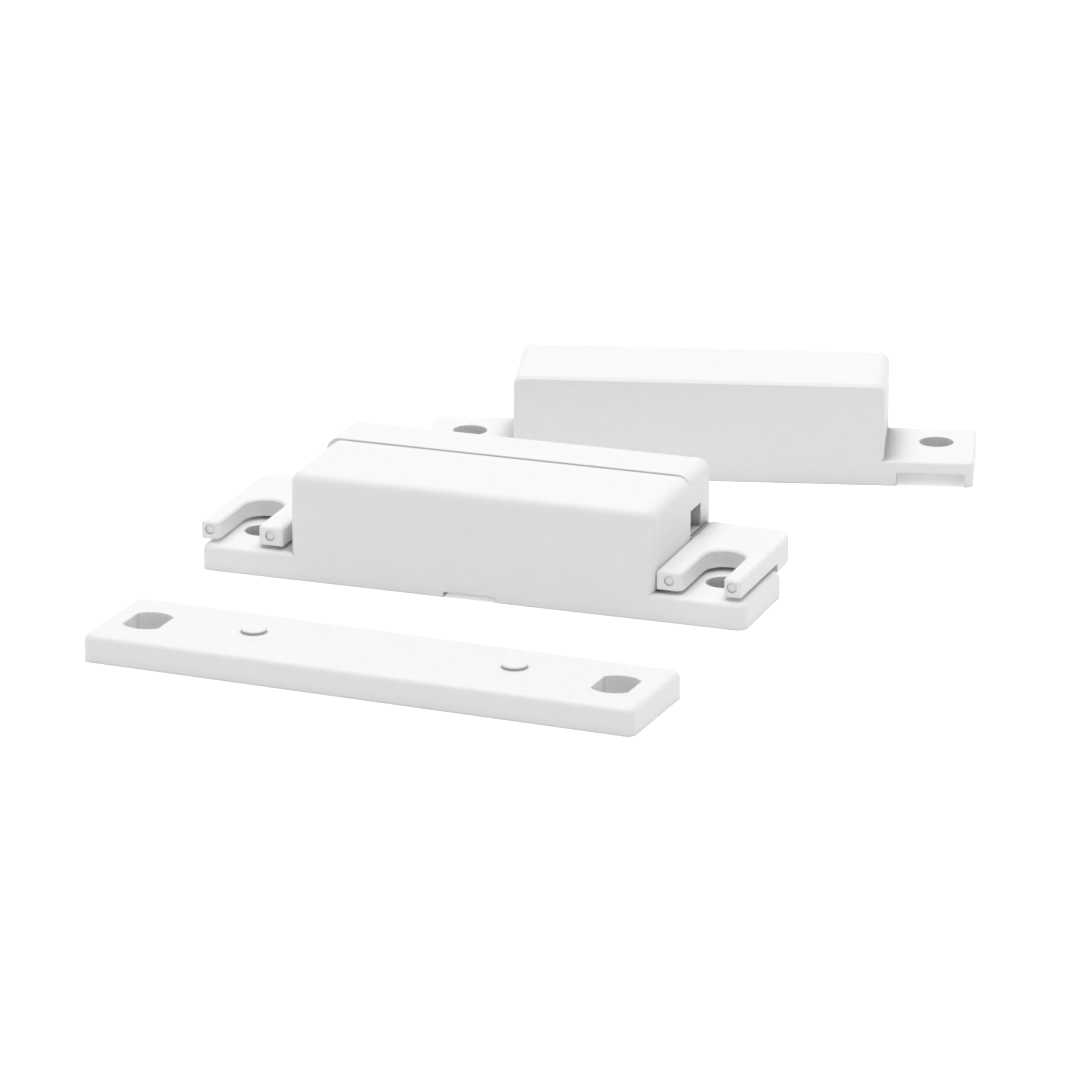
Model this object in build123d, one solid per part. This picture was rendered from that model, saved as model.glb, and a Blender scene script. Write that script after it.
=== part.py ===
"""Surface-mounted magnetic door contact: a switch unit, its magnet unit and a spacer plate, lying as a set.

Every unit is modelled with the middle of its front face's lower edge at the origin, X along its length,
Y towards its rear and Z up from the face that is screwed down. The layout then places the three units.
"""
import os

from build123d import *

# Sizes in millimetres, angles in degrees

# Shared by the units
base_length = 64.7          # the switch unit, and the measure for the other two
screw_inset = 4.75           # screw centres from the ends of the switch unit
screw_hole = 4.0
screw_row = 7.0             # screw centres behind the front face of the switch base and of the spacer

# Switch base: a block that stands on a full-length plate, whose ends are the screw wings
wing_gap = 0.2              # between the wings' rear edge and the cover's end walls
wing_thickness = 3.0
wing_corner = 1.2
wing_edge = 0.8
block_length = 43.2
switch_height = 12.7
block_depth = 13.1
end_radius = 1.5            # along the block's top ends
front_radius = 1.4          # around the block's front face
notch_width = 6.2           # lifting notch under the middle of the front face
notch_height = 0.6
notch_depth = 2.0

# Reed channel, open below and filled with resin
channel_length = 33.0
channel_width = 4.4
channel_front = 1.5
channel_corner = 0.8
channel_height = 9.6
resin_recess = 0.6

# Reed switch
reed_height = 7.4
glass_length = 14.2
glass_diameter = 2.3
glass_wall = 0.3
glass_seal = 1.5
glass_taper = 0.6           # at both ends of the glass
lead_diameter = 0.56
lead_overhang = 0.9         # lead beyond the terminal leg that holds it
blade_width = 1.2
blade_thickness = 0.22
blade_overlap = 1.0
contact_gap = 0.08
blade_root = 1.2            # from the inner end of the seal to where the flat blade starts

# Wire terminals on the rear face of the block
terminal_offset = 9.5
plate_width = 8.0
plate_height = 7.0
plate_thickness = 0.8
plate_corner = 0.6
plate_clearance = 0.1
leg_height = 1.6
leg_thickness = 0.8
leg_tip = 0.8               # leg beyond the middle of the lead
leg_fit = 0.04
collar_diameter = 4.4
collar_length = 1.6
collar_clearance = 0.3
thread_diameter = 3.0
thread_length = 5.4
thread_fit = 0.05
pocket_spare = 0.6
washer_width = 6.6
washer_thickness = 0.9
washer_corner = 0.7
washer_hole = 3.4
head_diameter = 5.6
head_height = 2.0
head_edge = 0.5
head_slot_width = 0.8
head_slot_depth = 1.0
barrier_thickness = 1.2
barrier_length = 3.6
barrier_height = 10.6
floor_thickness = 1.6

# Terminal cover: closes the rear of the block and lies on the wings with two slotted tabs
joint_gap = 0.6
cover_back = 21.2           # back of the cover behind the switch's front face
cover_wall = 1.4
cover_proud = 0.2           # end walls of the cover beyond those of the block
cover_shift = 0.5           # the cover sits this much to the left in its play
cover_play = 0.6            # beside the block and beside the floor
inner_corner = 0.4
rear_radius = 0.8
tab_inset = 0.25            # the tabs end this far inside the wings
tab_gap = 0.45              # between a tab and the wing below it
tab_thickness = 2.2         # beside the block
tab_fall = 0.2              # the top falls this much to the tab's outer end
tab_edge = 0.25
arm_setback = 0.9
arm_corner = 0.3
slot_mouth = 0.8            # rounding of the arms' front corners beside the slot
tab_rear = 20.0
tab_corner = 2.4
lip_depth = 1.0             # the tab's rear reaches this much below the rest, behind the wing
slot_width = 4.7
slot_end = 10.9             # round end of the slot behind the front face
mark_diameter = 1.1
mark_depth = 0.12
entry_width = 3.8
entry_height = 2.7
entry_gap = 0.1

# Magnet unit
magnet_shorter = 0.3        # than the switch unit
case_length = 43.5
case_height = 12.25
case_depth = 13.8
case_wall = 1.6
case_top = 1.8
case_radius = 1.2
case_edge = 0.4
case_corner = 1.0
skirt_reach = 1.5           # front and rear walls run this far past the ends, below the ears
ear_top = 2.95
ear_thickness = 1.4
ear_edge = 0.3
ear_lip = 1.0
ear_screw_row = 8.2
nick_width = 1.6
nick_depth = 0.9
nick_height = 0.4
bar_length = 36.0
bar_depth = 6.4
bar_height = 5.0
bar_edge = 0.3
bar_clearance = 0.1
rib_thickness = 1.2
rib_spread = 22.0
rib_drop = 4.0
seal_thickness = 3.0

# Spacer plate, as long as the switch unit
spacer_depth = 14.4
spacer_thickness = 3.1
spacer_corner = 1.0
spacer_edge = 0.8
window_diameter = 5.8       # round at front and rear
window_width = 4.25         # between the two flat sides
peg_diameter = 2.8
peg_height = 0.4
peg_edge = 0.12
peg_spacing = 30.8
peg_row = 8.1
socket_fit = 0.15
socket_depth = 0.7

# Layout: where each unit's origin lies from the switch unit's, and how far it is turned
magnet_place = (9.95, 50.4)
magnet_turn = 14.9
spacer_place = (-0.1, -35.6)
spacer_turn = -2.8

# Worked out from the sizes above
screw_spacing = base_length - 2 * screw_inset
hole_radius = screw_hole / 2
joint_y = block_depth + joint_gap
wing_depth = joint_y - wing_gap
cover_length = block_length + 2 * cover_proud
cover_inside = cover_length / 2 - cover_wall
cover_inner_back = cover_back - cover_wall
tab_bottom = wing_thickness + tab_gap
tab_top = tab_bottom + tab_thickness
tab_inner = block_length / 2 + cover_play
tab_outer = base_length / 2 - tab_inset
lip_front = wing_depth + tab_gap
lip_bottom = tab_bottom - lip_depth
channel_middle = channel_front + channel_width / 2
lead_radius = lead_diameter / 2
leg_x = terminal_offset + plate_width / 2 - leg_thickness / 2
plate_y = block_depth - plate_thickness
leg_front = channel_middle - leg_tip
washer_back = block_depth + washer_thickness
pocket_radius = collar_diameter / 2 + collar_clearance
pocket_depth = thread_length - washer_thickness - plate_thickness + pocket_spare
case_end = case_length / 2
ear_bottom = ear_top - ear_thickness
magnet_end = (base_length - magnet_shorter) / 2
bar_top = case_height - case_top - bar_clearance
bar_bottom = bar_top - bar_height
bar_middle = case_depth / 2
case_inside = case_end - case_wall
case_rear_wall = case_depth - case_wall
case_ceiling = case_height - case_top
SIDES = {"left": -1, "right": 1}
FROM_LOWEST = (Align.MIN, Align.MIN, Align.MIN)
FROM_START = (Align.CENTER, Align.CENTER, Align.MIN)


def box_between(low, high):
    """A box from its lowest corner to its highest."""
    size = [top - bottom for bottom, top in zip(low, high)]
    return Pos(*low) * Box(*size, align=FROM_LOWEST)


def rod_along_y(radius, start, end, x, z):
    """A round bar along Y."""
    return Pos(x, start, z) * Rot(-90, 0, 0) * Cylinder(radius, end - start, align=FROM_START)


def rod_along_x(radius, start, end, y, z):
    """A round bar along X."""
    return Pos(start, y, z) * Rot(0, 90, 0) * Cylinder(radius, end - start, align=FROM_START)


def arched_block(length, height, front, back, radius):
    """A front outline with two rounded top corners, run from its front to its back."""
    outline = Plane.XZ.offset(-front) * Pos(0, height / 2) * Rectangle(length, height)
    outline = fillet(outline.vertices().sort_by(Axis.Z)[-2:], radius)
    return extrude(outline, front - back)


def rim(face):
    """The edges around an upright face, without the one that it stands on."""
    return face.edges().sort_by(Axis.Z)[1:]


def rounded_plate(length, depth, corner, bottom, top, middle_y):
    """A flat plate with rounded corners."""
    outline = Pos(0, middle_y, bottom) * RectangleRounded(length, depth, corner)
    return extrude(outline, top - bottom)


def switch_base():
    """The block on its winged plate, cored from below for the reed and from behind for the terminals."""
    plate = rounded_plate(base_length, wing_depth, wing_corner, 0, wing_thickness, wing_depth / 2)
    plate = fillet(plate.faces().sort_by(Axis.Z)[-1].edges(), wing_edge)
    block = arched_block(block_length, switch_height, 0, block_depth, end_radius)
    block = fillet(rim(block.faces().sort_by(Axis.Y)[0]), front_radius)
    floor_x = cover_inside - cover_play
    floor_back = cover_inner_back - cover_play
    floor = box_between((-floor_x, block_depth - wing_edge, 0), (floor_x, floor_back, floor_thickness))
    barrier = box_between(
        (-barrier_thickness / 2, block_depth - wing_edge, 0),
        (barrier_thickness / 2, block_depth + barrier_length, barrier_height),
    )
    base = plate + block + floor + barrier
    base -= box_between((-notch_width / 2, 0, 0), (notch_width / 2, notch_depth, notch_height))
    base -= rounded_plate(channel_length, channel_width, channel_corner, 0, channel_height, channel_middle)
    screw_bore = Cylinder(hole_radius, 2 * wing_thickness)
    peg_socket = Cylinder(peg_diameter / 2 + socket_fit, 2 * socket_depth)
    for side in SIDES.values():
        base -= Pos(side * screw_spacing / 2, screw_row) * screw_bore
        base -= Pos(side * peg_spacing / 2, peg_row) * peg_socket
        base -= terminal_seat(side)
    return base


def terminal_seat(side):
    """What is cut from the block's rear face for one terminal: plate recess, screw pocket and leg slot."""
    x = side * terminal_offset
    half_width = plate_width / 2 + plate_clearance
    half_height = plate_height / 2 + plate_clearance
    recess = box_between(
        (x - half_width, plate_y, reed_height - half_height),
        (x + half_width, block_depth, reed_height + half_height),
    )
    pocket = rod_along_y(pocket_radius, plate_y - pocket_depth, plate_y, x, reed_height)
    half_slot = leg_thickness / 2 + plate_clearance
    half_leg = leg_height / 2 + plate_clearance
    slot = box_between(
        (side * leg_x - half_slot, channel_middle, reed_height - half_leg),
        (side * leg_x + half_slot, plate_y, reed_height + half_leg),
    )
    return recess + pocket + slot


def terminal_plate(side):
    """A stamped plate with a threaded collar and a leg whose fork holds the reed's lead."""
    x = side * terminal_offset
    outline = Pos(x, reed_height) * RectangleRounded(plate_width, plate_height, plate_corner)
    plate = extrude(Plane.XZ.offset(-plate_y) * outline, -plate_thickness)
    plate += rod_along_y(collar_diameter / 2, plate_y - collar_length, plate_y, x, reed_height)
    plate += box_between(
        (side * leg_x - leg_thickness / 2, leg_front, reed_height - leg_height / 2),
        (side * leg_x + leg_thickness / 2, block_depth - plate_thickness / 2, reed_height + leg_height / 2),
    )
    tapped = thread_diameter / 2 + thread_fit
    plate -= rod_along_y(tapped, plate_y - collar_length, block_depth, x, reed_height)
    fork = lead_radius + leg_fit
    inner, outer = side * leg_x - leg_thickness, side * leg_x + leg_thickness
    plate -= rod_along_x(fork, inner, outer, channel_middle, reed_height)
    mouth = box_between((inner, leg_front, reed_height - fork), (outer, channel_middle, reed_height + fork))
    return plate - mouth


def clamp_washer(side):
    """A square washer between the plate and the screw's head."""
    x = side * terminal_offset
    outline = RectangleRounded(washer_width, washer_width, washer_corner) - Circle(washer_hole / 2)
    return extrude(Plane.XZ.offset(-block_depth) * Pos(x, reed_height) * outline, -washer_thickness)


def terminal_screw(side):
    """A slotted cheese-head screw along Y."""
    x = side * terminal_offset
    head = rod_along_y(head_diameter / 2, washer_back, washer_back + head_height, x, reed_height)
    head = chamfer(head.edges().sort_by(Axis.Y)[-1], head_edge)
    slot_front = washer_back + head_height - head_slot_depth
    head -= box_between(
        (x - head_diameter, slot_front, reed_height - head_slot_width / 2),
        (x + head_diameter, washer_back + head_height, reed_height + head_slot_width / 2),
    )
    return head + rod_along_y(thread_diameter / 2, washer_back - thread_length, washer_back, x, reed_height)


def reed_outside():
    """The reed's glass as seen from outside, a rod with drawn-in ends."""
    half = glass_length / 2
    rod = rod_along_x(glass_diameter / 2, -half, half, channel_middle, reed_height)
    return chamfer(rod.edges().filter_by(GeomType.CIRCLE), glass_taper)


def reed_glass_tube():
    """The glass drawn into a tube, its ends sealed around the two leads."""
    half = glass_length / 2
    inside = half - glass_seal
    bore = glass_diameter / 2 - glass_wall
    tube = reed_outside() - rod_along_x(bore, -inside, inside, channel_middle, reed_height)
    return tube - rod_along_x(lead_radius, -half, half, channel_middle, reed_height)


def reed_blade(side):
    """A round lead that is pressed flat inside the glass, the left one above the right one."""
    root = glass_length / 2 - glass_seal - blade_root
    tip = leg_x + leg_thickness / 2 + lead_overhang
    lead = rod_along_x(lead_radius, *sorted((side * root, side * tip)), channel_middle, reed_height)
    inner, outer = sorted((-side * blade_overlap / 2, side * (root + lead_radius)))
    low = reed_height - side * (contact_gap + blade_thickness) / 2 - blade_thickness / 2
    front = channel_middle - blade_width / 2
    return lead + box_between((inner, front, low), (outer, front + blade_width, low + blade_thickness))


def reed_potting(held):
    """Resin in the channel, cast around everything that lies in it."""
    resin = rounded_plate(
        channel_length, channel_width, channel_corner, resin_recess, channel_height, channel_middle
    )
    resin -= reed_outside()
    for piece in held:
        resin -= piece
    return resin


def tab_slot():
    """Seen from above: the right tab's slot with a round end, its mouth flared to round the arms' corners."""
    slot_half = slot_width / 2
    centre_y = slot_end - slot_half
    mouth_y = arm_setback + slot_mouth
    flare = Pos(0, mouth_y / 2) * Rectangle(slot_width + 2 * slot_mouth, mouth_y)
    for side in (-1, 1):
        flare -= Pos(side * (slot_half + slot_mouth), mouth_y) * Circle(slot_mouth)
    slot = flare + Pos(0, centre_y) * Circle(slot_half)
    slot += Pos(0, centre_y / 2) * Rectangle(slot_width, centre_y)
    return Pos(screw_spacing / 2, 0) * slot


def tab_outline():
    """Seen from above: the right tab with its open slot, rooted in the cover's end wall."""
    tab = Pos((tab_inner + tab_outer) / 2, (arm_setback + tab_rear) / 2) * Rectangle(
        tab_outer - tab_inner, tab_rear - arm_setback
    )
    tab -= tab_slot()
    fronts = [corner for corner in tab.vertices() if corner.Y < arm_setback + arm_corner]
    ends = [corner for corner in fronts if min(corner.X - tab_inner, tab_outer - corner.X) < arm_corner]
    tab = fillet(ends, arm_corner)
    rear_outer = tab.vertices().sort_by(lambda corner: corner.X + corner.Y)[-1]
    return fillet(rear_outer, tab_corner)


def cover_tab():
    """The right tab: flat on the wing, thicker behind it, its top falling a little to the outer end."""
    tab = extrude(Pos(0, 0, lip_bottom) * tab_outline(), tab_top - lip_bottom)
    tab -= box_between((0, 0, 0), (base_length, lip_front, tab_bottom))
    outer_top = (tab_outer, tab_top - tab_fall)
    slope = Polyline((tab_inner, tab_top), (tab_outer, tab_top), outer_top, close=True)
    tab -= extrude(Plane.XZ * make_face(slope), -cover_back)
    top = tab.faces().sort_by(Axis.Z)[-1]
    tab = chamfer([edge for edge in top.edges() if edge.center().X > tab_inner + tab_edge], tab_edge)
    root = cover_length / 2 - cover_wall / 2
    tab += box_between((root, joint_y, lip_bottom), (tab_inner + arm_corner, tab_rear, tab_top - tab_edge))
    mark_z = tab_bottom + tab_thickness / 2
    for arm_x in arm_middles():
        tab -= rod_along_y(mark_diameter / 2, 0, arm_setback + mark_depth, arm_x, mark_z)
    return tab


def arm_middles():
    """Where the middles of a tab's inner and outer arm are."""
    slot_half = slot_width / 2
    inner = (tab_inner + screw_spacing / 2 - slot_half) / 2
    outer = (tab_outer + screw_spacing / 2 + slot_half) / 2
    return inner, outer


def terminal_cover():
    """An arched shell, open in front and below, with two slotted tabs and a wire entry on the right."""
    shell = arched_block(cover_length, switch_height, joint_y, cover_back, end_radius)
    shell = fillet(rim(shell.faces().sort_by(Axis.Y)[-1]), rear_radius)
    ceiling = switch_height - cover_wall
    shell -= arched_block(2 * cover_inside, ceiling, joint_y, cover_inner_back, inner_corner)
    tab = cover_tab()
    cover = shell + tab + mirror(tab, Plane.YZ)
    entry_bottom = tab_top + entry_gap
    cover -= box_between(
        (cover_inside - cover_wall, joint_y, entry_bottom),
        (cover_length, joint_y + entry_width, entry_bottom + entry_height),
    )
    return Pos(-cover_shift, 0, 0) * cover


def magnet_ear():
    """The right ear: a thin plate with a lip at its end, hollow beneath."""
    middle = (case_inside + magnet_end) / 2
    outline = Pos(middle, case_depth / 2) * Rectangle(magnet_end - case_inside, case_depth)
    outline = fillet(outline.vertices().sort_by(Axis.X)[-2:], case_corner)
    ear = extrude(outline, ear_top)
    top = ear.faces().sort_by(Axis.Z)[-1]
    ear = fillet(top.edges().sort_by(Axis.X)[1:], ear_edge)
    ear -= box_between((case_end, 0, 0), (magnet_end - ear_lip, case_depth, ear_bottom))
    skirt_end = case_end + skirt_reach
    ear += box_between((case_inside, 0, 0), (skirt_end, case_wall, ear_bottom))
    ear += box_between((case_inside, case_rear_wall, 0), (skirt_end, case_depth, ear_bottom))
    return ear - Pos(screw_spacing / 2, ear_screw_row) * Cylinder(hole_radius, 2 * case_height)


def magnet_housing():
    """A box open below, with ribs that hold the bar magnet and a screw ear at each end."""
    case = arched_block(case_length, case_height, 0, case_depth, case_radius)
    case = chamfer(rim(case.faces().sort_by(Axis.Y)[0]), case_edge)
    case = chamfer(rim(case.faces().sort_by(Axis.Y)[-1]), case_edge)
    ear = magnet_ear()
    case += ear + mirror(ear, Plane.YZ)
    case -= box_between((-case_inside, case_wall, 0), (case_inside, case_rear_wall, case_ceiling))
    pocket = bar_depth / 2 + bar_clearance
    for side in SIDES.values():
        rib_x = side * rib_spread / 2
        for front, back in ((case_wall, bar_middle - pocket), (bar_middle + pocket, case_rear_wall)):
            case += box_between(
                (rib_x - rib_thickness / 2, front, case_ceiling - rib_drop),
                (rib_x + rib_thickness / 2, back, case_ceiling),
            )
    nick_x = -screw_spacing / 2
    nick = box_between(
        (nick_x - nick_width / 2, case_depth - nick_depth, ear_top - nick_height),
        (nick_x + nick_width / 2, case_depth, ear_top),
    )
    return case - nick


def bar_magnet():
    """A plain bar with broken edges."""
    front, back = bar_middle - bar_depth / 2, bar_middle + bar_depth / 2
    bar = box_between((-bar_length / 2, front, bar_bottom), (bar_length / 2, back, bar_top))
    return chamfer(bar.edges(), bar_edge)


def magnet_potting():
    """The resin bed that closes the housing under the magnet."""
    seal_bottom = bar_bottom - seal_thickness
    return box_between((-case_inside, case_wall, seal_bottom), (case_inside, case_rear_wall, bar_bottom))


def spacer_plate():
    """A flat bar with a window for each screw and two low pegs that locate the unit on it."""
    plate = rounded_plate(base_length, spacer_depth, spacer_corner, 0, spacer_thickness, spacer_depth / 2)
    plate = fillet(plate.faces().sort_by(Axis.Z)[-1].edges(), spacer_edge)
    outline = Circle(window_diameter / 2) & Rectangle(window_width, window_diameter)
    window = extrude(outline, spacer_thickness)
    peg = Cylinder(peg_diameter / 2, peg_height, align=FROM_START)
    peg = chamfer(peg.edges().sort_by(Axis.Z)[-1], peg_edge)
    for side in SIDES.values():
        plate -= Pos(side * screw_spacing / 2, screw_row) * window
        plate += Pos(side * peg_spacing / 2, peg_row, spacer_thickness) * peg
    return plate


def switch_unit():
    """All pieces of the switch unit, by name."""
    pieces = {"switch_base": switch_base(), "terminal_cover": terminal_cover()}
    held = []
    for name, side in SIDES.items():
        blade, plate = reed_blade(side), terminal_plate(side)
        held += [blade, plate]
        pieces[f"reed_blade_{name}"] = blade
        pieces[f"terminal_plate_{name}"] = plate
        pieces[f"clamp_washer_{name}"] = clamp_washer(side)
        pieces[f"terminal_screw_{name}"] = terminal_screw(side)
    pieces["reed_glass_tube"] = reed_glass_tube()
    pieces["reed_potting"] = reed_potting(held)
    return pieces


def magnet_unit():
    """All pieces of the magnet unit, by name."""
    return {
        "magnet_housing": magnet_housing(),
        "bar_magnet": bar_magnet(),
        "magnet_potting": magnet_potting(),
    }


def laid_out():
    """The three units at their places, with the middle of the whole layout above the origin."""
    pieces = switch_unit()
    magnet_spot = Pos(*magnet_place) * Rot(0, 0, magnet_turn)
    spacer_spot = Pos(*spacer_place) * Rot(0, 0, spacer_turn)
    pieces.update({name: magnet_spot * piece for name, piece in magnet_unit().items()})
    pieces["spacer_plate"] = spacer_spot * spacer_plate()
    boxes = [piece.bounding_box() for piece in pieces.values()]
    middle_x = (min(box.min.X for box in boxes) + max(box.max.X for box in boxes)) / 2
    middle_y = (min(box.min.Y for box in boxes) + max(box.max.Y for box in boxes)) / 2
    return {name: Pos(-middle_x, -middle_y) * piece for name, piece in pieces.items()}


os.makedirs("parts", exist_ok=True)
for node, solid in laid_out().items():
    export_step(solid, f"parts/{node}.step")
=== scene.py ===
"""Magnetic door contact: a switch unit, its magnet unit and a spacer plate in white moulded plastic."""

import math

import bpy
import numpy as np
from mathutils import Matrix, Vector


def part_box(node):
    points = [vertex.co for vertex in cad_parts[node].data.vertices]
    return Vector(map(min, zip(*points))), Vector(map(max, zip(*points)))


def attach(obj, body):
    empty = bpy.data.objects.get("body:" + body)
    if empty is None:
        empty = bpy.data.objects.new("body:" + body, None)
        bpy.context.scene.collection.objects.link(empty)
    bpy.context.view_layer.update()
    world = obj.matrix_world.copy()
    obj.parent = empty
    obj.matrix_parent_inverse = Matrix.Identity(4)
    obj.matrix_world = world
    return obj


bl_info = {
    "name": "Magnetic door contact",
    "version": (1, 0, 0),
    "blender": (4, 5, 0),
    "location": "3D View > Sidebar > Door contact",
    "description": "Finishes the pieces of a magnetic door contact and sets up its photograph",
    "category": "Object",
}

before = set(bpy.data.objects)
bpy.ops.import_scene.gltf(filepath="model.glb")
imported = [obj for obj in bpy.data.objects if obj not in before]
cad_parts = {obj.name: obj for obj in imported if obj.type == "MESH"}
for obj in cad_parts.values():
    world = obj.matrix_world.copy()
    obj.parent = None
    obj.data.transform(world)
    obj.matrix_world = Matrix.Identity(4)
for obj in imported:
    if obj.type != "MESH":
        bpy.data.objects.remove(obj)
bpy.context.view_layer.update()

MM = 0.001
TURN = 2 * math.pi
WHITE = (1.0, 1.0, 1.0, 1.0)

# Pieces by what they are made of
MOULDINGS = ("switch_base", "terminal_cover", "magnet_housing", "spacer_plate")
RESIN_BEDS = ("reed_potting", "magnet_potting")
TERMINAL_PLATES = ("terminal_plate_left", "terminal_plate_right")
CLAMPS = ("clamp_washer_left", "clamp_washer_right", "terminal_screw_left", "terminal_screw_right")
BLADES = ("reed_blade_left", "reed_blade_right")

# Typical refractive indices
ABS_IOR = 1.53
EPOXY_IOR = 1.55
FERRITE_IOR = 2.1
GLASS_IOR = 1.5

# Roughness at the smoothest and the roughest places
EPOXY_SMOOTH, EPOXY_ROUGH = 0.12, 0.24
FERRITE_SMOOTH, FERRITE_ROUGH = 0.38, 0.55
METAL_SMOOTH, METAL_ROUGH = 0.22, 0.4
GLASS_ROUGHNESS = 0.03

# Most values of a noise lie between these two
NOISE_LOW, NOISE_HIGH = 0.3, 0.7

# Noise values where the plastic is handled and where it is clean
HANDLED, CLEAN = 0.35, 0.65

# Cosine between an edge's rounded normal and its face's own, where the skin is rubbed and where it isn't
RUBBED, UNRUBBED = 0.8, 0.98

# Floor and rim of a burst bubble and of a pore, as shares of the distance between them
BUBBLE_FLOOR, BUBBLE_RIM = 0.06, 0.14
PORE_FLOOR, PORE_RIM = 0.08, 0.25

# Scale of a pattern along X, Y and Z that draws it out into streaks
BLADE_STREAKS = (0.08, 1.0, 1.0)
GLASS_STREAKS = (0.1, 1.0, 1.0)
PLATE_STREAKS = (0.1, 1.0, 1.0)
CLAMP_STREAKS = (1.0, 0.3, 1.0)

# The resin skin's innermost ring, as a share of the bed's half width
LAST_RING = 0.98

# Corners up to this far above a piece's lowest one belong to its underside
UNDERSIDE = 0.01 * MM

# The photograph's width in pixels, and the camera's sensor and clipping distances
PHOTO_PX = 1080
SENSOR_MM = 36.0
CLIP_NEAR, CLIP_FAR = 0.05, 20.0


def linear(code):
    """The linear RGBA of an sRGB hex colour, by the sRGB curve."""
    parts = [int(code[i:i + 2], 16) / 255 for i in (1, 3, 5)]
    return tuple(c / 12.92 if c <= 0.04045 else ((c + 0.055) / 1.055) ** 2.4 for c in parts) + (1.0,)


def add_node(tree, kind, at, values=None, links=None, **settings):
    """Adds a node with its settings, input values and links, each input by its name or number."""
    node = tree.nodes.new(kind)
    node.location = at
    for name, value in settings.items():
        setattr(node, name, value)
    for name, value in (values or {}).items():
        node.inputs[name].default_value = value
    for name, source in (links or {}).items():
        tree.links.new(source, node.inputs[name])
    return node


def new_tree(name):
    """An empty node material and its tree."""
    material = bpy.data.materials.new(name)
    material.use_nodes = True
    material.node_tree.nodes.clear()
    return material, material.node_tree


def dress(names, material):
    """Puts the material on CAD pieces."""
    for name in names:
        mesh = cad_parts[name].data
        mesh.materials.clear()
        mesh.materials.append(material)


# Materials

def moulded_abs(plastic):
    """Moulded ABS, white, from a spark-eroded tool.

    The fine skin breaks up the gloss, slow sink marks bend it over centimetres, and the edges, where the
    skin is rubbed, catch a little more light. Handling leaves faint patches, a little darker and smoother.
    Gaps and holes get painted shade: their colour is darkened by how little open sky they see. The real
    skin's grain is too fine to show, so it is drawn coarser.
    """
    material, tree = new_tree("moulded_abs_white")
    where = add_node(tree, "ShaderNodeTexCoord", (-1500, 0)).outputs["Object"]
    skin = add_node(tree, "ShaderNodeTexNoise", (-1200, -300), {
        "Scale": 1 / plastic.skin_grain, "Detail": 2.0, "Roughness": 0.6}, {"Vector": where})
    sink = add_node(tree, "ShaderNodeTexNoise", (-1200, -600), {
        "Scale": 1 / plastic.sink_length, "Detail": 1.0}, {"Vector": where})
    handling = add_node(tree, "ShaderNodeTexNoise", (-1200, 100), {
        "Scale": 1 / plastic.handling_patch, "Detail": 4.0, "Roughness": 0.7}, {"Vector": where})
    tint = add_node(tree, "ShaderNodeValToRGB", (-600, 300), links={"Fac": handling.outputs["Fac"]})
    tint.color_ramp.elements[0].position = NOISE_LOW
    tint.color_ramp.elements[0].color = plastic.handled_colour
    tint.color_ramp.elements[1].position = NOISE_HIGH
    tint.color_ramp.elements[1].color = plastic.colour
    # Painted shade: in gaps, holes and corners the colour is darkened by how little open sky each place sees
    open_sky = add_node(tree, "ShaderNodeAmbientOcclusion", (-600, 550), {
        "Distance": plastic.recess_reach}, samples=8, only_local=True)
    recess = add_node(tree, "ShaderNodeMapRange", (-300, 550), {
        "From Min": plastic.recess_deep, "From Max": plastic.recess_open,
        "To Min": plastic.painted_recess_shade, "To Max": 1.0},
        {"Value": open_sky.outputs["AO"]})
    shaded = add_node(tree, "ShaderNodeVectorMath", (0, 300), operation="SCALE", links={
        "Vector": tint.outputs["Color"], "Scale": recess.outputs["Result"]})
    round_edge = add_node(tree, "ShaderNodeBevel", (-900, -850), {"Radius": plastic.edge_rounding}, samples=6)
    face = add_node(tree, "ShaderNodeNewGeometry", (-900, -100))
    flatness = add_node(tree, "ShaderNodeVectorMath", (-600, -100), operation="DOT_PRODUCT", links={
        0: round_edge.outputs["Normal"], 1: face.outputs["Normal"]})
    rubbed = add_node(tree, "ShaderNodeMapRange", (-300, -100), {
        "From Min": RUBBED, "From Max": UNRUBBED, "To Min": -plastic.edge_polish, "To Max": 0.0},
        {"Value": flatness.outputs["Value"]})
    patches = add_node(tree, "ShaderNodeMapRange", (-600, 50), {
        "From Min": HANDLED, "From Max": CLEAN,
        "To Min": plastic.handled_roughness, "To Max": plastic.roughness},
        {"Value": handling.outputs["Fac"]})
    gloss = add_node(tree, "ShaderNodeMath", (0, 0), operation="ADD", links={
        0: patches.outputs["Result"], 1: rubbed.outputs["Result"]})
    low = add_node(tree, "ShaderNodeBump", (-300, -600), {"Strength": 1.0, "Distance": plastic.sink_depth}, {
        "Height": sink.outputs["Fac"], "Normal": round_edge.outputs["Normal"]})
    high = add_node(tree, "ShaderNodeBump", (0, -300), {"Strength": 1.0, "Distance": plastic.skin_depth}, {
        "Height": skin.outputs["Fac"], "Normal": low.outputs["Normal"]})
    shader = add_node(tree, "ShaderNodeBsdfPrincipled", (400, 0), {
        "IOR": ABS_IOR, "Subsurface Weight": 0.12, "Subsurface Radius": (1.0, 0.95, 0.9),
        "Subsurface Scale": 0.6 * MM},
        {"Base Color": shaded.outputs["Vector"], "Roughness": gloss.outputs["Value"],
         "Normal": high.outputs["Normal"]})
    add_node(tree, "ShaderNodeOutputMaterial", (800, 0), links={"Surface": shader.outputs["BSDF"]})
    return material


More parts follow.
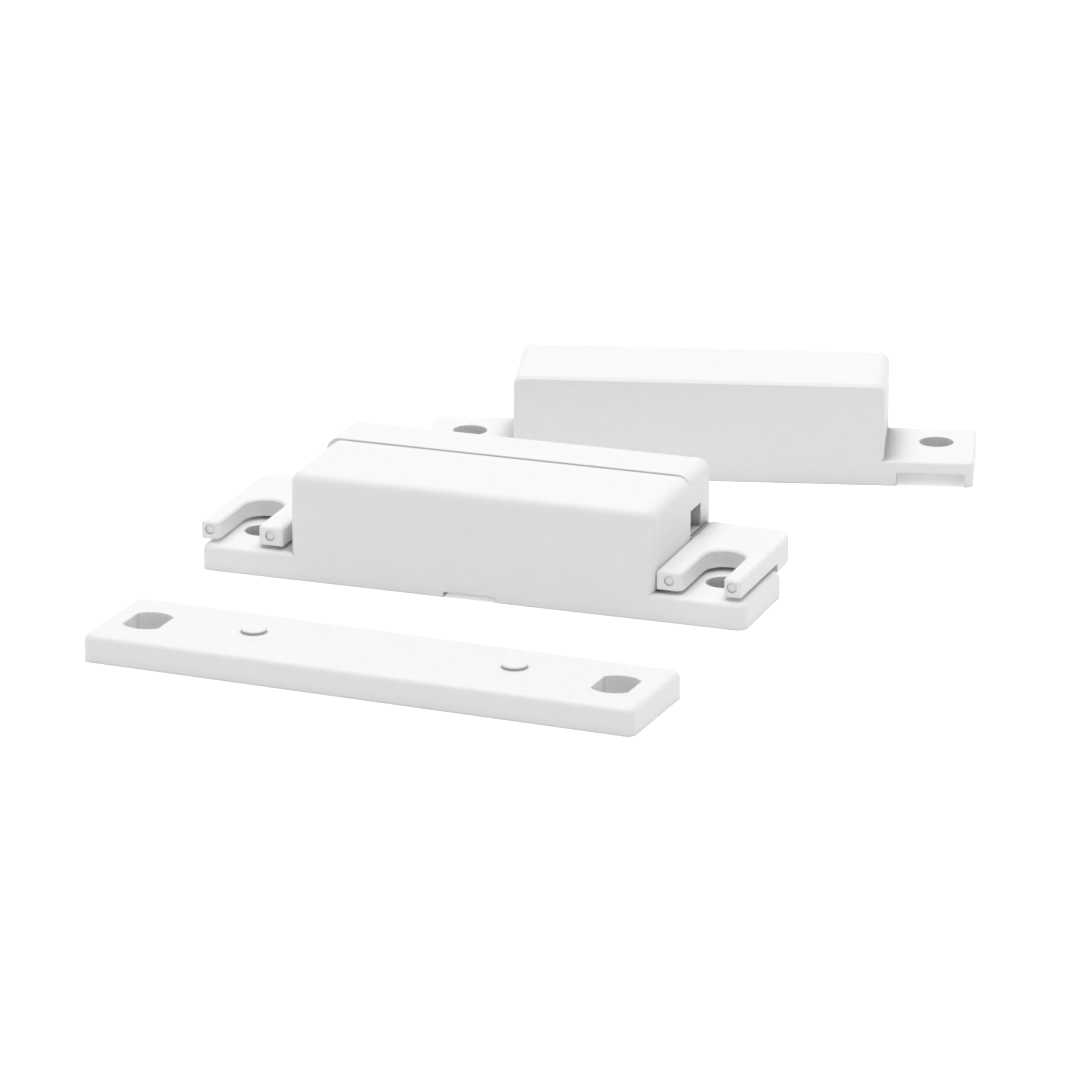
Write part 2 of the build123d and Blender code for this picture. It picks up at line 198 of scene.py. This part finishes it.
def cast_epoxy(resin):
    """Epoxy resin, cast and left to level: glossy and cloudy, with swirls from mixing and small bubbles."""
    material, tree = new_tree("cast_epoxy_resin")
    where = add_node(tree, "ShaderNodeTexCoord", (-1200, 0)).outputs["Object"]
    swirl = add_node(tree, "ShaderNodeTexNoise", (-900, 200), {
        "Scale": 1 / resin.swirl_length, "Detail": 3.0, "Distortion": 1.5}, {"Vector": where})
    tint = add_node(tree, "ShaderNodeValToRGB", (-600, 300), links={"Fac": swirl.outputs["Fac"]})
    tint.color_ramp.elements[0].color = resin.dark_colour
    tint.color_ramp.elements[1].color = resin.light_colour
    bubble = add_node(tree, "ShaderNodeTexVoronoi", (-900, -200), {
        "Scale": 1 / resin.bubble_spacing, "Randomness": 1.0}, {"Vector": where})
    pit = add_node(tree, "ShaderNodeMapRange", (-600, -200), {
        "From Min": BUBBLE_FLOOR, "From Max": BUBBLE_RIM, "To Min": 0.0, "To Max": 1.0},
        {"Value": bubble.outputs["Distance"]})
    skin = add_node(tree, "ShaderNodeBump", (-300, -400), {
        "Strength": 0.6, "Distance": resin.swirl_depth}, {"Height": swirl.outputs["Fac"]})
    pitted = add_node(tree, "ShaderNodeBump", (0, -300), {
        "Strength": 0.8, "Distance": resin.bubble_depth},
        {"Height": pit.outputs["Result"], "Normal": skin.outputs["Normal"]})
    gloss = add_node(tree, "ShaderNodeMapRange", (-300, 0), {
        "From Min": NOISE_LOW, "From Max": NOISE_HIGH, "To Min": EPOXY_SMOOTH, "To Max": EPOXY_ROUGH},
        {"Value": swirl.outputs["Fac"]})
    shader = add_node(tree, "ShaderNodeBsdfPrincipled", (400, 0), {
        "IOR": EPOXY_IOR, "Subsurface Weight": 0.3, "Subsurface Radius": (1.0, 0.8, 0.5),
        "Subsurface Scale": 0.8 * MM},
        {"Base Color": tint.outputs["Color"], "Roughness": gloss.outputs["Result"],
         "Normal": pitted.outputs["Normal"]})
    add_node(tree, "ShaderNodeOutputMaterial", (800, 0), links={"Surface": shader.outputs["BSDF"]})
    return material


def ground_ferrite(magnet, turn):
    """Sintered ferrite, ground: nearly black ceramic with grinding lines along the bar and open pores.

    Real grinding lines are too fine to show, so they are drawn coarser.
    """
    material, tree = new_tree("sintered_ferrite_ground")
    where = add_node(tree, "ShaderNodeTexCoord", (-1200, 0)).outputs["Object"]
    along = add_node(tree, "ShaderNodeMapping", (-1000, -200), {
        "Rotation": (0, 0, turn), "Scale": (magnet.line_stretch, 1.0, 1.0)},
        {"Vector": where}, vector_type="TEXTURE")
    lines = add_node(tree, "ShaderNodeTexNoise", (-700, -200), {
        "Scale": 1 / magnet.line_spacing, "Detail": 2.0}, {"Vector": along.outputs["Vector"]})
    pores = add_node(tree, "ShaderNodeTexVoronoi", (-700, 200), {
        "Scale": 1 / magnet.pore_spacing}, {"Vector": where})
    tint = add_node(tree, "ShaderNodeValToRGB", (-400, 300), links={"Fac": pores.outputs["Distance"]})
    tint.color_ramp.elements[0].position = PORE_FLOOR
    tint.color_ramp.elements[0].color = magnet.pore_colour
    tint.color_ramp.elements[1].position = PORE_RIM
    tint.color_ramp.elements[1].color = magnet.colour
    gloss = add_node(tree, "ShaderNodeMapRange", (-400, 0), {
        "From Min": NOISE_LOW, "From Max": NOISE_HIGH, "To Min": FERRITE_SMOOTH, "To Max": FERRITE_ROUGH},
        {"Value": lines.outputs["Fac"]})
    ground = add_node(tree, "ShaderNodeBump", (-100, -300), {
        "Strength": 0.8, "Distance": magnet.line_depth}, {"Height": lines.outputs["Fac"]})
    shader = add_node(tree, "ShaderNodeBsdfPrincipled", (300, 0), {"IOR": FERRITE_IOR}, {
        "Base Color": tint.outputs["Color"], "Roughness": gloss.outputs["Result"],
        "Normal": ground.outputs["Normal"]})
    add_node(tree, "ShaderNodeOutputMaterial", (700, 0), links={"Surface": shader.outputs["BSDF"]})
    return material


def rolled_metal(name, look, dark, light, stretch):
    """Plated or bare metal, rolled or drawn: streaks run along the piece, and its surface is cloudy.

    Real streaks are too fine to show, so they are drawn coarser.
    """
    material, tree = new_tree(name)
    where = add_node(tree, "ShaderNodeTexCoord", (-1200, 0)).outputs["Object"]
    along = add_node(tree, "ShaderNodeMapping", (-1000, -200), {"Scale": stretch}, {"Vector": where})
    streaks = add_node(tree, "ShaderNodeTexNoise", (-700, -200), {
        "Scale": 1 / look.streak_width, "Detail": 3.0}, {"Vector": along.outputs["Vector"]})
    cloud = add_node(tree, "ShaderNodeTexNoise", (-700, 200), {
        "Scale": 1 / look.cloud_length, "Detail": 3.0, "Roughness": 0.6}, {"Vector": where})
    tint = add_node(tree, "ShaderNodeValToRGB", (-400, 300), links={"Fac": cloud.outputs["Fac"]})
    tint.color_ramp.elements[0].position = NOISE_LOW
    tint.color_ramp.elements[0].color = dark
    tint.color_ramp.elements[1].position = NOISE_HIGH
    tint.color_ramp.elements[1].color = light
    gloss = add_node(tree, "ShaderNodeMapRange", (-400, 0), {
        "From Min": NOISE_LOW, "From Max": NOISE_HIGH, "To Min": METAL_SMOOTH, "To Max": METAL_ROUGH},
        {"Value": cloud.outputs["Fac"]})
    drawn = add_node(tree, "ShaderNodeBump", (-100, -300), {
        "Strength": 0.7, "Distance": look.streak_depth}, {"Height": streaks.outputs["Fac"]})
    shader = add_node(tree, "ShaderNodeBsdfPrincipled", (300, 0), {"Metallic": 1.0}, {
        "Base Color": tint.outputs["Color"], "Roughness": gloss.outputs["Result"],
        "Normal": drawn.outputs["Normal"]})
    add_node(tree, "ShaderNodeOutputMaterial", (700, 0), links={"Surface": shader.outputs["BSDF"]})
    return material


def drawn_glass(look):
    """Clear glass tubing, drawn: very smooth, with a faint green cast and slow streaks along the tube."""
    material, tree = new_tree("drawn_glass_green")
    where = add_node(tree, "ShaderNodeTexCoord", (-1200, 0)).outputs["Object"]
    along = add_node(tree, "ShaderNodeMapping", (-900, 0), {"Scale": GLASS_STREAKS}, {"Vector": where})
    streaks = add_node(tree, "ShaderNodeTexNoise", (-600, 0), {
        "Scale": 1 / look.glass_streak, "Detail": 2.0}, {"Vector": along.outputs["Vector"]})
    drawn = add_node(tree, "ShaderNodeBump", (-200, -300), {
        "Strength": 0.4, "Distance": look.glass_depth}, {"Height": streaks.outputs["Fac"]})
    shader = add_node(tree, "ShaderNodeBsdfPrincipled", (200, 0), {
        "Base Color": look.glass_colour, "Roughness": GLASS_ROUGHNESS, "IOR": GLASS_IOR,
        "Transmission Weight": 1.0},
        {"Normal": drawn.outputs["Normal"]})
    add_node(tree, "ShaderNodeOutputMaterial", (600, 0), links={"Surface": shader.outputs["BSDF"]})
    return material


def seen_rays(tree):
    """One for rays from the camera, from a mirroring surface or through glass, and zero for light's own."""
    ray = add_node(tree, "ShaderNodeLightPath", (-900, 300))
    direct = add_node(tree, "ShaderNodeMath", (-600, 300), operation="MAXIMUM", links={
        0: ray.outputs["Is Camera Ray"], 1: ray.outputs["Is Glossy Ray"]})
    seen = add_node(tree, "ShaderNodeMath", (-300, 300), operation="MAXIMUM", links={
        0: direct.outputs["Value"], 1: ray.outputs["Is Transmission Ray"]})
    return seen.outputs["Value"]


def white_paper(stage):
    """Matt white paper that shows white, while the shadows under the pieces stay in it.

    The noise runs over the whole floor's width, so its scale is that width over the size of a cloud.
    """
    material, tree = new_tree("matt_white_paper")
    fibre = add_node(tree, "ShaderNodeTexNoise", (-600, -100), {
        "Scale": 2 * stage.floor_reach / stage.paper_cloud, "Detail": 3.0})
    tint = add_node(tree, "ShaderNodeValToRGB", (-300, 0), links={"Fac": fibre.outputs["Fac"]})
    tint.color_ramp.elements[0].color = stage.paper_dark
    tint.color_ramp.elements[1].color = stage.paper_light
    paper = add_node(tree, "ShaderNodeBsdfDiffuse", (0, 0), links={"Color": tint.outputs["Color"]})
    glow = add_node(tree, "ShaderNodeEmission", (0, -200), {"Color": WHITE, "Strength": stage.paper_lift})
    both = add_node(tree, "ShaderNodeAddShader", (300, -100), links={
        0: paper.outputs["BSDF"], 1: glow.outputs["Emission"]})
    mixed = add_node(tree, "ShaderNodeMixShader", (600, 0), links={
        "Fac": seen_rays(tree), 1: paper.outputs["BSDF"], 2: both.outputs["Shader"]})
    add_node(tree, "ShaderNodeOutputMaterial", (900, 0), links={"Surface": mixed.outputs["Shader"]})
    return material


# The resin's skin, which creeps down the walls around it

def lowest_corners(name):
    """The corners of a piece's underside, as an array of X, Y and Z."""
    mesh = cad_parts[name].data
    points = np.empty(3 * len(mesh.vertices))
    mesh.vertices.foreach_get("co", points)
    points = points.reshape(-1, 3)
    return points[points[:, 2] < points[:, 2].min() + UNDERSIDE]


def bed_turn(name):
    """How far a resin bed is turned about Z: the direction in which its underside reaches furthest."""
    points = lowest_corners(name)[:, :2]
    x, y = np.linalg.svd(points - points.mean(axis=0))[2][0]
    return math.atan(y / x)


def bed_outline(name, corner):
    """The middle, half length, half width, corner radius and two directions of a resin bed's underside."""
    turn = bed_turn(name)
    along = np.array((math.cos(turn), math.sin(turn), 0))
    across = np.array((-math.sin(turn), math.cos(turn), 0))
    points = lowest_corners(name)
    length, width = points @ along, points @ across
    middle = along * (length.max() + length.min()) / 2 + across * (width.max() + width.min()) / 2
    middle[2] = points[:, 2].min()
    half_length, half_width = np.ptp(length) / 2, np.ptp(width) / 2
    return middle, half_length, half_width, min(corner, half_width), along, across


def resin_skin(name, bed, resin):
    """The cured skin of a resin bed, a closed shell that is thin in the middle and creeps down the walls.

    Around the bed runs the angle, and each ring is the bed's outline moved inwards by an inset, which grows
    with the square of the ring's number. An outline point is the corner circle's centre plus the circle's
    radius in the angle's direction, and the radius shrinks with the inset until it is zero. The underside
    lies below the bed by the film plus the creep, which falls off as the exponential of minus the inset over
    the creep's reach. The upper side lies flat, the film's height inside the bed.
    """
    middle, half_length, half_width, corner, along, across = bed
    angle = np.linspace(0, TURN, resin.skin_around, endpoint=False) + TURN / resin.skin_around / 2
    inset = half_width * LAST_RING * np.linspace(0, 1, resin.skin_rings) ** 2
    inset = np.concatenate((inset[::-1], inset))
    under = np.arange(len(inset)) < resin.skin_rings
    radius = np.maximum(corner - inset, 0)
    u = np.sign(np.cos(angle)) * (half_length - inset - radius)[:, None] + np.outer(radius, np.cos(angle))
    v = np.sign(np.sin(angle)) * (half_width - inset - radius)[:, None] + np.outer(radius, np.sin(angle))
    drop = np.where(under, -resin.film - resin.creep * np.exp(-inset / resin.creep_reach), resin.film)
    points = middle + u[..., None] * along + v[..., None] * across
    points[..., 2] += drop[:, None]
    rings, around = u.shape
    index = np.arange(rings * around).reshape(rings, around)
    beside = np.roll(index, -1, axis=1)
    quads = np.stack((index[:-1], index[1:], beside[1:], beside[:-1]), axis=-1).reshape(-1, 4)
    faces = quads.tolist() + [index[0].tolist(), index[-1][::-1].tolist()]
    mesh = bpy.data.meshes.new(name)
    mesh.from_pydata(points.reshape(-1, 3).tolist(), [], faces)
    mesh.polygons.foreach_set("use_smooth", np.ones(len(faces), dtype=bool))
    mesh.validate()
    return mesh


def add_skin(context, name, bed, resin, material):
    """Adds a resin bed's skin, with its material, and lets it ride on the part."""
    mesh = resin_skin(name, bed, resin)
    mesh.materials.append(material)
    piece = bpy.data.objects.new(name, mesh)
    context.scene.collection.objects.link(piece)
    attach(piece, "root")


# Settings

class DoorContactPlastic(bpy.types.PropertyGroup):
    """The white mouldings."""
    colour: bpy.props.FloatVectorProperty(
        name="Plastic", description="Colour of the clean plastic",
        default=linear("#F2F2F2"), size=4, subtype="COLOR")
    handled_colour: bpy.props.FloatVectorProperty(
        name="Handled plastic", description="Colour of the plastic where it is handled",
        default=linear("#EFEFEF"), size=4, subtype="COLOR")
    roughness: bpy.props.FloatProperty(
        name="Roughness", description="Roughness of the clean plastic", default=0.54)
    handled_roughness: bpy.props.FloatProperty(
        name="Handled roughness", description="Roughness of the plastic where it is handled", default=0.44)
    handling_patch: bpy.props.FloatProperty(
        name="Handling", description="Size of the handled patches", default=1.6 * MM, unit="LENGTH")
    skin_grain: bpy.props.FloatProperty(
        name="Skin grain", description="Size of the grain of the moulded skin",
        default=0.35 * MM, unit="LENGTH")
    skin_depth: bpy.props.FloatProperty(
        name="Skin depth", description="Depth of the moulded skin", default=0.01 * MM, unit="LENGTH")
    sink_length: bpy.props.FloatProperty(
        name="Sink marks", description="Distance over which the faces sink", default=14 * MM, unit="LENGTH")
    sink_depth: bpy.props.FloatProperty(
        name="Sink depth", description="How far the faces sink", default=0.05 * MM, unit="LENGTH")
    # Painted shade in recesses: how far it reaches, where it is full, where it ends and how dark it is
    recess_reach: bpy.props.FloatProperty(
        name="Recesses", description="Width up to which gaps and holes count as recesses",
        default=4 * MM, unit="LENGTH")
    recess_deep: bpy.props.FloatProperty(
        name="Deepest recess", description="Share of open sky at which a recess is darkest", default=0.3)
    recess_open: bpy.props.FloatProperty(
        name="Open face", description="Share of open sky from which a face isn't darkened", default=0.85)
    # Brightness that the painted shade brings the colour down to deep in a recess
    painted_recess_shade: bpy.props.FloatProperty(
        name="Recess shade", description="Brightness of the dusty plastic deep in a recess", default=0.2)
    edge_rounding: bpy.props.FloatProperty(
        name="Edge rounding", description="Radius of the tool's finest edges",
        default=0.25 * MM, unit="LENGTH")
    edge_polish: bpy.props.FloatProperty(
        name="Edge polish", description="How much less rough the rubbed edges are", default=0.1)


class DoorContactResin(bpy.types.PropertyGroup):
    """The resin beds under the reed and the magnet."""
    dark_colour: bpy.props.FloatVectorProperty(
        name="Resin, dark", description="Colour of the resin's darker swirls",
        default=linear("#D2C8AE"), size=4, subtype="COLOR")
    light_colour: bpy.props.FloatVectorProperty(
        name="Resin, light", description="Colour of the resin's lighter swirls",
        default=linear("#E6DFCC"), size=4, subtype="COLOR")
    swirl_length: bpy.props.FloatProperty(
        name="Swirls", description="Size of the swirls from mixing", default=3 * MM, unit="LENGTH")
    swirl_depth: bpy.props.FloatProperty(
        name="Swirl depth", description="Unevenness of the surface", default=0.03 * MM, unit="LENGTH")
    bubble_spacing: bpy.props.FloatProperty(
        name="Bubbles", description="Distance between the bubbles", default=2.4 * MM, unit="LENGTH")
    bubble_depth: bpy.props.FloatProperty(
        name="Bubble depth", description="Depth of a burst bubble", default=0.12 * MM, unit="LENGTH")
    film: bpy.props.FloatProperty(
        name="Film", description="How far the skin's two sides lie from the bed's underside",
        default=0.03 * MM, unit="LENGTH")
    creep: bpy.props.FloatProperty(
        name="Creep", description="How far the resin creeps down the walls",
        default=0.4 * MM, unit="LENGTH")
    creep_reach: bpy.props.FloatProperty(
        name="Creep reach", description="Distance from the wall at which the creep has died down to a third",
        default=0.45 * MM, unit="LENGTH")
    channel_corner: bpy.props.FloatProperty(
        name="Channel corner", description="Corner radius of the reed's channel",
        default=0.8 * MM, unit="LENGTH")
    housing_corner: bpy.props.FloatProperty(
        name="Housing corner", description="Corner radius inside the magnet housing",
        default=0.0, unit="LENGTH")
    skin_rings: bpy.props.IntProperty(
        name="Rings", description="Rings on each side of the skin", default=14)
    skin_around: bpy.props.IntProperty(
        name="Around", description="Points on each ring of the skin", default=64)


class DoorContactMagnet(bpy.types.PropertyGroup):
    """The bar magnet."""
    colour: bpy.props.FloatVectorProperty(
        name="Ferrite", description="Colour of the ground ferrite",
        default=linear("#47474A"), size=4, subtype="COLOR")
    pore_colour: bpy.props.FloatVectorProperty(
        name="Pore colour", description="Colour in the pores",
        default=linear("#1B1B1D"), size=4, subtype="COLOR")
    line_spacing: bpy.props.FloatProperty(
        name="Grinding lines", description="Distance between grinding lines",
        default=0.12 * MM, unit="LENGTH")
    line_stretch: bpy.props.FloatProperty(
        name="Line length", description="How many times longer than wide the lines are", default=16.0)
    line_depth: bpy.props.FloatProperty(
        name="Line depth", description="Depth of the grinding lines", default=0.004 * MM, unit="LENGTH")
    pore_spacing: bpy.props.FloatProperty(
        name="Pores", description="Distance between the pores", default=0.5 * MM, unit="LENGTH")


class DoorContactMetal(bpy.types.PropertyGroup):
    """The terminals and the reed's blades and glass."""
    blade_dark: bpy.props.FloatVectorProperty(
        name="Blades, dark", description="Colour of the darker clouds on the reed's blades",
        default=linear("#A09C94"), size=4, subtype="COLOR")
    blade_light: bpy.props.FloatVectorProperty(
        name="Blades, light", description="Colour of the lighter clouds on the reed's blades",
        default=linear("#BDB9B0"), size=4, subtype="COLOR")
    plate_dark: bpy.props.FloatVectorProperty(
        name="Plates, dark", description="Colour of the darker clouds in the terminal plates' tin",
        default=linear("#B9B29C"), size=4, subtype="COLOR")
    plate_light: bpy.props.FloatVectorProperty(
        name="Plates, light", description="Colour of the lighter clouds in the terminal plates' tin",
        default=linear("#D3CEBF"), size=4, subtype="COLOR")
    clamp_dark: bpy.props.FloatVectorProperty(
        name="Clamps, dark", description="Colour of the darker clouds in the screws' and washers' zinc",
        default=linear("#B2B8BF"), size=4, subtype="COLOR")
    clamp_light: bpy.props.FloatVectorProperty(
        name="Clamps, light", description="Colour of the lighter clouds in the screws' and washers' zinc",
        default=linear("#CDD1D4"), size=4, subtype="COLOR")
    streak_width: bpy.props.FloatProperty(
        name="Streaks", description="Width of the rolling and drawing streaks",
        default=0.1 * MM, unit="LENGTH")
    streak_depth: bpy.props.FloatProperty(
        name="Streak depth", description="Depth of the streaks", default=0.003 * MM, unit="LENGTH")
    cloud_length: bpy.props.FloatProperty(
        name="Clouds", description="Size of the clouds on the metal", default=0.9 * MM, unit="LENGTH")
    glass_colour: bpy.props.FloatVectorProperty(
        name="Glass", description="Cast of the reed's glass",
        default=linear("#DFF0E4"), size=4, subtype="COLOR")
    glass_streak: bpy.props.FloatProperty(
        name="Glass streaks", description="Width of the streaks in the drawn glass",
        default=0.4 * MM, unit="LENGTH")
    glass_depth: bpy.props.FloatProperty(
        name="Glass streak depth", description="Depth of the streaks in the drawn glass",
        default=0.002 * MM, unit="LENGTH")


class DoorContactStage(bpy.types.PropertyGroup):
    """Camera, floor and light."""
    focal_px: bpy.props.FloatProperty(
        name="Focal length", description="In pixels of the photograph", default=7421.0)
    elevation: bpy.props.FloatProperty(
        name="Elevation", description="Camera above the horizon",
        default=math.radians(18.05), subtype="ANGLE")
    azimuth: bpy.props.FloatProperty(
        name="Azimuth", description="Camera to the right of the switch's front",
        default=math.radians(19.79), subtype="ANGLE")
    distance: bpy.props.FloatProperty(
        name="Distance", description="From the camera to the point it is aimed at",
        default=0.84869, unit="LENGTH")
    aim: bpy.props.FloatVectorProperty(
        name="Aim", description="From the middle of the switch's front edge",
        default=(0.13 * MM, 23.0 * MM, 0.0), subtype="TRANSLATION", unit="LENGTH")
    surround: bpy.props.FloatProperty(
        name="Surround", description="Light from all around", default=0.52)
    overhead: bpy.props.FloatProperty(
        name="Overhead", description="Power of the lamp overhead", default=4.9, unit="POWER")
    lamp_place: bpy.props.FloatVectorProperty(
        name="Lamp", description="Where the lamp hangs, from the middle of the set",
        default=(-0.02, 0.06, 0.85), subtype="TRANSLATION", unit="LENGTH")
    lamp_size: bpy.props.FloatProperty(
        name="Lamp size", description="Width of the square lamp", default=0.8, unit="LENGTH")
    floor_reach: bpy.props.FloatProperty(
        name="Floor", description="Half the floor's width", default=3.0, unit="LENGTH")
    floor_gap: bpy.props.FloatProperty(
        name="Floor gap", description="How far the floor lies below the pieces",
        default=0.02 * MM, unit="LENGTH")
    paper_dark: bpy.props.FloatVectorProperty(
        name="Paper, dark", description="Colour of the darker clouds in the paper",
        default=linear("#FAFAFA"), size=4, subtype="COLOR")
    paper_light: bpy.props.FloatVectorProperty(
        name="Paper, light", description="Colour of the lighter clouds in the paper",
        default=linear("#FDFDFD"), size=4, subtype="COLOR")
    paper_cloud: bpy.props.FloatProperty(
        name="Paper clouds", description="Size of the clouds in the paper", default=12 * MM, unit="LENGTH")
    paper_lift: bpy.props.FloatProperty(
        name="Paper lift", description="Brightness added to the paper where it is seen", default=0.45)


# Stage

def add_floor(scene, stage):
    """A wide pale floor, a hair below the pieces, so that it isn't in the plane of their undersides."""
    reach, level = stage.floor_reach, -stage.floor_gap
    mesh = bpy.data.meshes.new("floor")
    corners = [(-reach, -reach, level), (reach, -reach, level), (reach, reach, level), (-reach, reach, level)]
    mesh.from_pydata(corners, [], [(0, 1, 2, 3)])
    floor = bpy.data.objects.new("floor", mesh)
    scene.collection.objects.link(floor)
    mesh.materials.append(white_paper(stage))


def add_surround(scene, stage):
    """An even pale surround, white where it is seen, mirrored or seen through glass."""
    world = bpy.data.worlds.new("surround")
    world.use_nodes = True
    tree = world.node_tree
    tree.nodes.clear()
    light = add_node(tree, "ShaderNodeBackground", (0, 0), {"Color": WHITE, "Strength": stage.surround})
    white = add_node(tree, "ShaderNodeBackground", (0, -200), {"Color": WHITE, "Strength": 1.0})
    mixed = add_node(tree, "ShaderNodeMixShader", (300, 0), links={
        "Fac": seen_rays(tree), 1: light.outputs["Background"], 2: white.outputs["Background"]})
    add_node(tree, "ShaderNodeOutputWorld", (600, 0), links={"Surface": mixed.outputs["Shader"]})
    scene.world = world


def add_lamp(scene, stage):
    """A wide, soft, square lamp overhead, aimed at the middle of the set."""
    data = bpy.data.lights.new("overhead", "AREA")
    data.shape = "SQUARE"
    data.size = stage.lamp_size
    data.energy = stage.overhead
    lamp = bpy.data.objects.new("overhead", data)
    lamp.location = stage.lamp_place
    lamp.rotation_euler = (-Vector(stage.lamp_place)).to_track_quat("-Z", "Y").to_euler()
    scene.collection.objects.link(lamp)


def add_camera(scene, stage):
    """A long lens at the photograph's place, aimed at a point on the floor."""
    low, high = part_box("switch_base")
    data = bpy.data.cameras.new("camera")
    data.sensor_width = SENSOR_MM
    data.sensor_fit = "HORIZONTAL"
    data.lens = stage.focal_px / PHOTO_PX * SENSOR_MM
    data.clip_start = CLIP_NEAR
    data.clip_end = CLIP_FAR
    camera = bpy.data.objects.new("camera", data)
    aim = Vector(((low.x + high.x) / 2, low.y, 0)) + Vector(stage.aim)
    level = math.cos(stage.elevation)
    back = Vector((
        math.sin(stage.azimuth) * level,
        -math.cos(stage.azimuth) * level,
        math.sin(stage.elevation),
    ))
    camera.location = aim + back * stage.distance
    camera.rotation_euler = (-back).to_track_quat("-Z", "Y").to_euler()
    scene.collection.objects.link(camera)
    scene.camera = camera


# Operators

class DOORCONTACT_OT_mouldings(bpy.types.Operator):
    """Finish the four white mouldings."""
    bl_idname = "door_contact.mouldings"
    bl_label = "Mouldings"

    def execute(self, context):
        dress(MOULDINGS, moulded_abs(context.scene.door_contact_plastic))
        return {"FINISHED"}


class DOORCONTACT_OT_resin(bpy.types.Operator):
    """Finish the two resin beds and add the skin that creeps down the walls around them."""
    bl_idname = "door_contact.resin"
    bl_label = "Resin beds"

    def execute(self, context):
        resin = context.scene.door_contact_resin
        epoxy = cast_epoxy(resin)
        dress(RESIN_BEDS, epoxy)
        channel = bed_outline("reed_potting", resin.channel_corner)
        housing = bed_outline("magnet_potting", resin.housing_corner)
        add_skin(context, "resin_skin_reed", channel, resin, epoxy)
        add_skin(context, "resin_skin_magnet", housing, resin, epoxy)
        return {"FINISHED"}


class DOORCONTACT_OT_magnet(bpy.types.Operator):
    """Finish the bar magnet."""
    bl_idname = "door_contact.magnet"
    bl_label = "Bar magnet"

    def execute(self, context):
        turn = bed_turn("magnet_potting")
        dress(("bar_magnet",), ground_ferrite(context.scene.door_contact_magnet, turn))
        return {"FINISHED"}


class DOORCONTACT_OT_reed(bpy.types.Operator):
    """Finish the reed's glass and its two blades."""
    bl_idname = "door_contact.reed"
    bl_label = "Reed switch"

    def execute(self, context):
        look = context.scene.door_contact_metal
        dress(("reed_glass_tube",), drawn_glass(look))
        # Bare nickel iron: a warm dark grey
        nickel_iron = rolled_metal(
            "nickel_iron_drawn", look, look.blade_dark, look.blade_light, BLADE_STREAKS)
        dress(BLADES, nickel_iron)
        return {"FINISHED"}


class DOORCONTACT_OT_terminals(bpy.types.Operator):
    """Finish the terminal plates, clamp washers and screws."""
    bl_idname = "door_contact.terminals"
    bl_label = "Terminals"

    def execute(self, context):
        look = context.scene.door_contact_metal
        # Tin plate on brass: pale and a little yellow
        brass = rolled_metal("brass_tin_plated", look, look.plate_dark, look.plate_light, PLATE_STREAKS)
        # Zinc plate on steel: bright and a little blue
        steel = rolled_metal("steel_zinc_plated", look, look.clamp_dark, look.clamp_light, CLAMP_STREAKS)
        dress(TERMINAL_PLATES, brass)
        dress(CLAMPS, steel)
        return {"FINISHED"}


class DOORCONTACT_OT_stage(bpy.types.Operator):
    """Set up the floor, the light and the camera."""
    bl_idname = "door_contact.stage"
    bl_label = "Stage"

    def execute(self, context):
        scene, stage = context.scene, context.scene.door_contact_stage
        scene.view_settings.view_transform = "Standard"
        add_floor(scene, stage)
        add_surround(scene, stage)
        add_lamp(scene, stage)
        add_camera(scene, stage)
        return {"FINISHED"}


class DOORCONTACT_PT_panel(bpy.types.Panel):
    """The door contact's pieces and settings."""
    bl_label = "Door contact"
    bl_idname = "DOORCONTACT_PT_panel"
    bl_space_type = "VIEW_3D"
    bl_region_type = "UI"
    bl_category = "Door contact"

    def draw(self, context):
        for step in STEPS:
            self.layout.operator(step.bl_idname)
        for name, group in SETTINGS.items():
            box = self.layout.box()
            box.label(text=group.__doc__)
            for entry in group.__annotations__:
                box.prop(getattr(context.scene, name), entry)


SETTINGS = {
    "door_contact_plastic": DoorContactPlastic,
    "door_contact_resin": DoorContactResin,
    "door_contact_magnet": DoorContactMagnet,
    "door_contact_metal": DoorContactMetal,
    "door_contact_stage": DoorContactStage,
}
STEPS = (
    DOORCONTACT_OT_mouldings,
    DOORCONTACT_OT_resin,
    DOORCONTACT_OT_magnet,
    DOORCONTACT_OT_reed,
    DOORCONTACT_OT_terminals,
    DOORCONTACT_OT_stage,
)


def register():
    """Registers the settings, the operators and the panel."""
    for group in (*SETTINGS.values(), *STEPS, DOORCONTACT_PT_panel):
        bpy.utils.register_class(group)
    for name, group in SETTINGS.items():
        setattr(bpy.types.Scene, name, bpy.props.PointerProperty(type=group))


def unregister():
    """Removes them again, the settings first."""
    for name in SETTINGS:
        delattr(bpy.types.Scene, name)
    for group in (DOORCONTACT_PT_panel, *reversed(STEPS), *reversed(SETTINGS.values())):
        bpy.utils.unregister_class(group)


def main():
    """Finishes every piece and sets the stage."""
    register()
    bpy.ops.door_contact.mouldings()
    bpy.ops.door_contact.resin()
    bpy.ops.door_contact.magnet()
    bpy.ops.door_contact.reed()
    bpy.ops.door_contact.terminals()
    bpy.ops.door_contact.stage()


if __name__ == "__main__":
    main()
